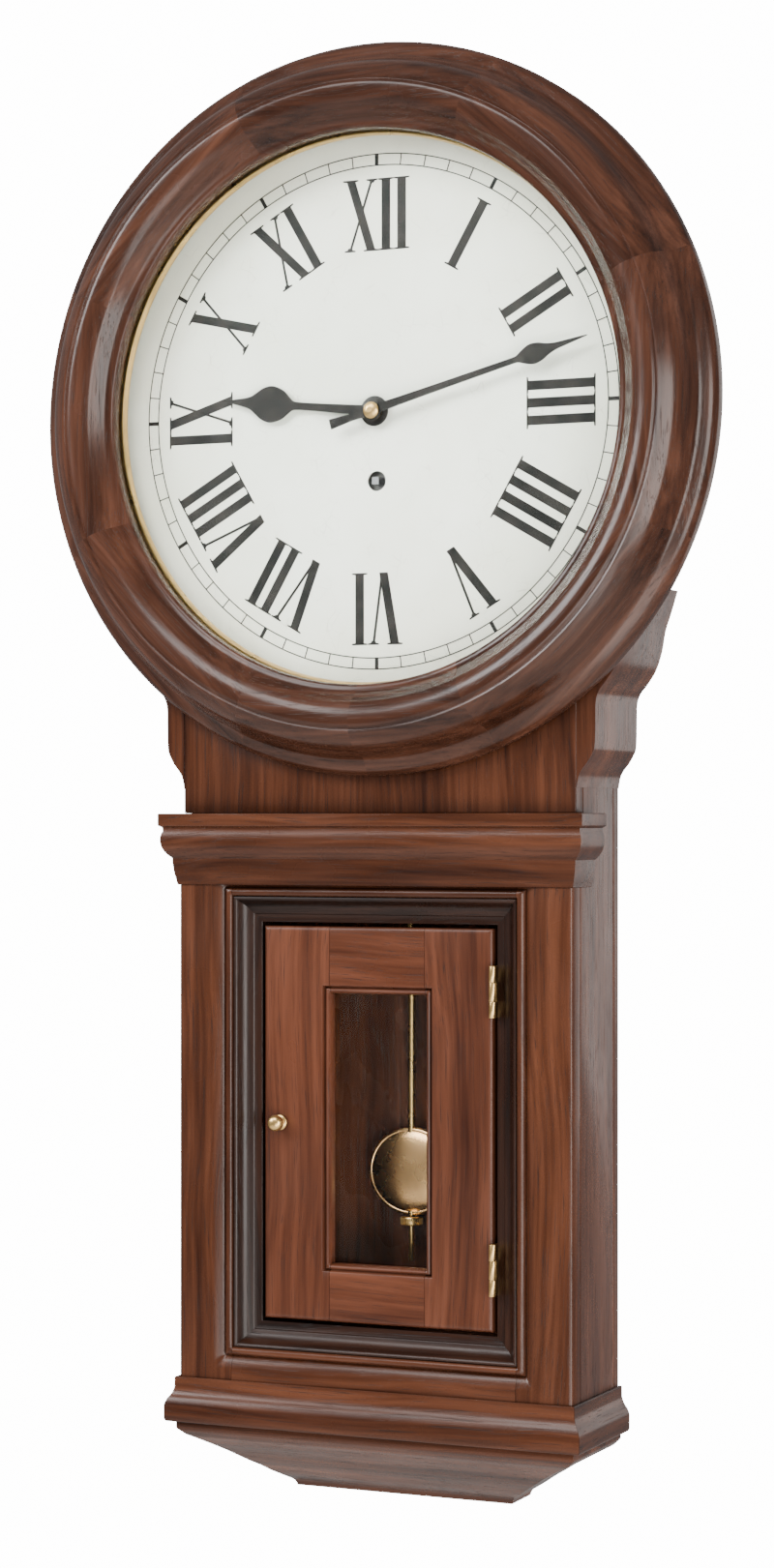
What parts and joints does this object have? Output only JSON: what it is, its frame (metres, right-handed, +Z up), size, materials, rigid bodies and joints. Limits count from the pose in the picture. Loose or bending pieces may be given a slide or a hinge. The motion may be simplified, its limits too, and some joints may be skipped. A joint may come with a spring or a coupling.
{
  "type": "pendulum wall clock",
  "caption": "Wooden wall clock with a round dial under a hinged glazed bezel, over a boxed trunk whose windowed door shows a swinging pendulum.",
  "frame": {"origin": "on the wall plane, behind the centre of the dial", "axes": "+Z up, -Y out of the wall towards the viewer, +X to the viewer's right"},
  "size_m": [0.4, 0.1025, 0.8],
  "materials": {
    "case_wood": "french polished reddish brown",
    "ebonised_wood": "dark ebonised polish",
    "door_wood": "french polished reddish brown",
    "bezel_wood": "french polished dark brown",
    "brass": "aged lacquered",
    "steel": "bright worked steel",
    "dial_paint": "cream enamel paint with black numerals",
    "black_paint": "black",
    "glass": "clear"
  },
  "bodies": {
    "case": {"back_board": "case_wood", "head_drum": "case_wood", "ear_left": "case_wood", "ear_right": "case_wood", "neck_board": "case_wood", "shelf_moulding": "case_wood", "trunk_side_left": "case_wood", "trunk_side_right": "case_wood", "frame_stile_left": "case_wood", "frame_stile_right": "case_wood", "frame_rail_top": "case_wood", "frame_rail_bottom": "case_wood", "bottom_board": "case_wood", "base_moulding_front": "case_wood", "base_moulding_left": "case_wood", "base_moulding_right": "case_wood", "foot": "case_wood", "recess_cove_top": "ebonised_wood", "recess_cove_bottom": "ebonised_wood", "recess_cove_left": "ebonised_wood", "recess_cove_right": "ebonised_wood", "hanger_plate": "steel", "door_hinge_case_upper": "brass", "door_hinge_case_lower": "brass", "bezel_hinge_case": "brass", "dial_plate": "dial_paint", "front_plate": "brass", "back_plate": "brass", "pillar_1": "brass", "pillar_2": "brass", "pillar_3": "brass", "pillar_4": "brass", "suspension_cock": "brass"},
    "bezel": {"bezel_ring": "bezel_wood", "sight_ring": "brass", "dial_glass": "glass", "bezel_hinge_leaf": "brass"},
    "door": {"door_stile_left": "door_wood", "door_stile_right": "door_wood", "door_rail_top": "door_wood", "door_rail_bottom": "door_wood", "door_glass": "glass", "door_hinge_leaf_upper": "brass", "door_hinge_leaf_lower": "brass"},
    "door_turn": {"door_turn": "brass"},
    "minute_hand": {"centre_wheel": "brass", "minute_hand": "black_paint", "hand_nut": "brass"},
    "hour_hand": {"hour_wheel": "brass", "hour_hand": "black_paint"},
    "minute_wheel": {"minute_wheel": "brass"},
    "third_wheel": {"third_wheel": "brass"},
    "escape_wheel": {"escape_wheel": "brass"},
    "barrel": {"barrel": "brass"},
    "winding_arbor": {"winding_arbor": "steel"},
    "pendulum": {"pendulum_rod": "brass"},
    "anchor": {"anchor": "steel"},
    "bob": {"bob": "brass"},
    "rating_nut": {"rating_nut": "brass"}
  },
  "joints": [
    {"name": "bezel_hinge", "type": "hinge", "parent": "case", "child": "bezel", "pos_m": [0.177, -0.0625, 0], "axis": [0, 0, 1], "range_deg": [0, 95]},
    {"name": "door_hinge", "type": "hinge", "parent": "case", "child": "door", "pos_m": [0.0695, -0.0664, -0.391], "axis": [0, 0, 1], "range_deg": [0, 110]},
    {"name": "door_turn", "type": "hinge", "parent": "door", "child": "door_turn", "pos_m": [-0.0585, -0.058, -0.3915], "axis": [0, 1, 0], "range_deg": [0, 90]},
    {"name": "minute_hand", "type": "hinge", "parent": "case", "child": "minute_hand", "pos_m": [0, -0.06, 0], "axis": [0, 1, 0], "continuous": true},
    {"name": "hour_hand", "type": "hinge", "parent": "case", "child": "hour_hand", "pos_m": [0, -0.06, 0], "axis": [0, 1, 0], "continuous": true},
    {"name": "minute_wheel", "type": "hinge", "parent": "case", "child": "minute_wheel", "pos_m": [0.018, -0.057, 0], "axis": [0, 1, 0], "continuous": true},
    {"name": "third_wheel", "type": "hinge", "parent": "case", "child": "third_wheel", "pos_m": [-0.014, -0.04, 0.02238], "axis": [0, 1, 0], "continuous": true},
    {"name": "escape_wheel", "type": "hinge", "parent": "case", "child": "escape_wheel", "pos_m": [0, -0.04, 0.03708], "axis": [0, 1, 0], "continuous": true},
    {"name": "barrel", "type": "hinge", "parent": "case", "child": "barrel", "pos_m": [0, -0.042, -0.038], "axis": [0, 1, 0], "continuous": true},
    {"name": "winding_arbor", "type": "hinge", "parent": "case", "child": "winding_arbor", "pos_m": [0, -0.042, -0.038], "axis": [0, 1, 0], "continuous": true},
    {"name": "pendulum", "type": "hinge", "parent": "case", "child": "pendulum", "pos_m": [0, -0.018, 0.05971], "axis": [0, 1, 0], "range_deg": [-3, 3]},
    {"name": "anchor", "type": "hinge", "parent": "case", "child": "anchor", "pos_m": [0, -0.04, 0.05971], "axis": [0, 1, 0], "range_deg": [-3, 3]},
    {"name": "bob_slide", "type": "slide", "parent": "pendulum", "child": "bob", "axis": [0, 0, 1], "range_m": [-0.0028, 0.0028]},
    {"name": "rating_nut", "type": "hinge", "parent": "bob", "child": "rating_nut", "pos_m": [0, -0.018, -0.447], "axis": [0, 0, 1], "range_deg": [-1441, 1441]}
  ],
  "couplings": [
    {"joint": "hour_hand", "follows": "minute_hand", "ratio": 0.083333},
    {"joint": "minute_wheel", "follows": "minute_hand", "ratio": -0.33333},
    {"joint": "third_wheel", "follows": "minute_hand", "ratio": -10},
    {"joint": "escape_wheel", "follows": "minute_hand", "ratio": 86.667},
    {"joint": "barrel", "follows": "minute_hand", "ratio": -0.2},
    {"joint": "anchor", "follows": "pendulum", "ratio": 1},
    {"joint": "rating_nut", "follows": "bob_slide", "rad_per_m": 8976}
  ]
}
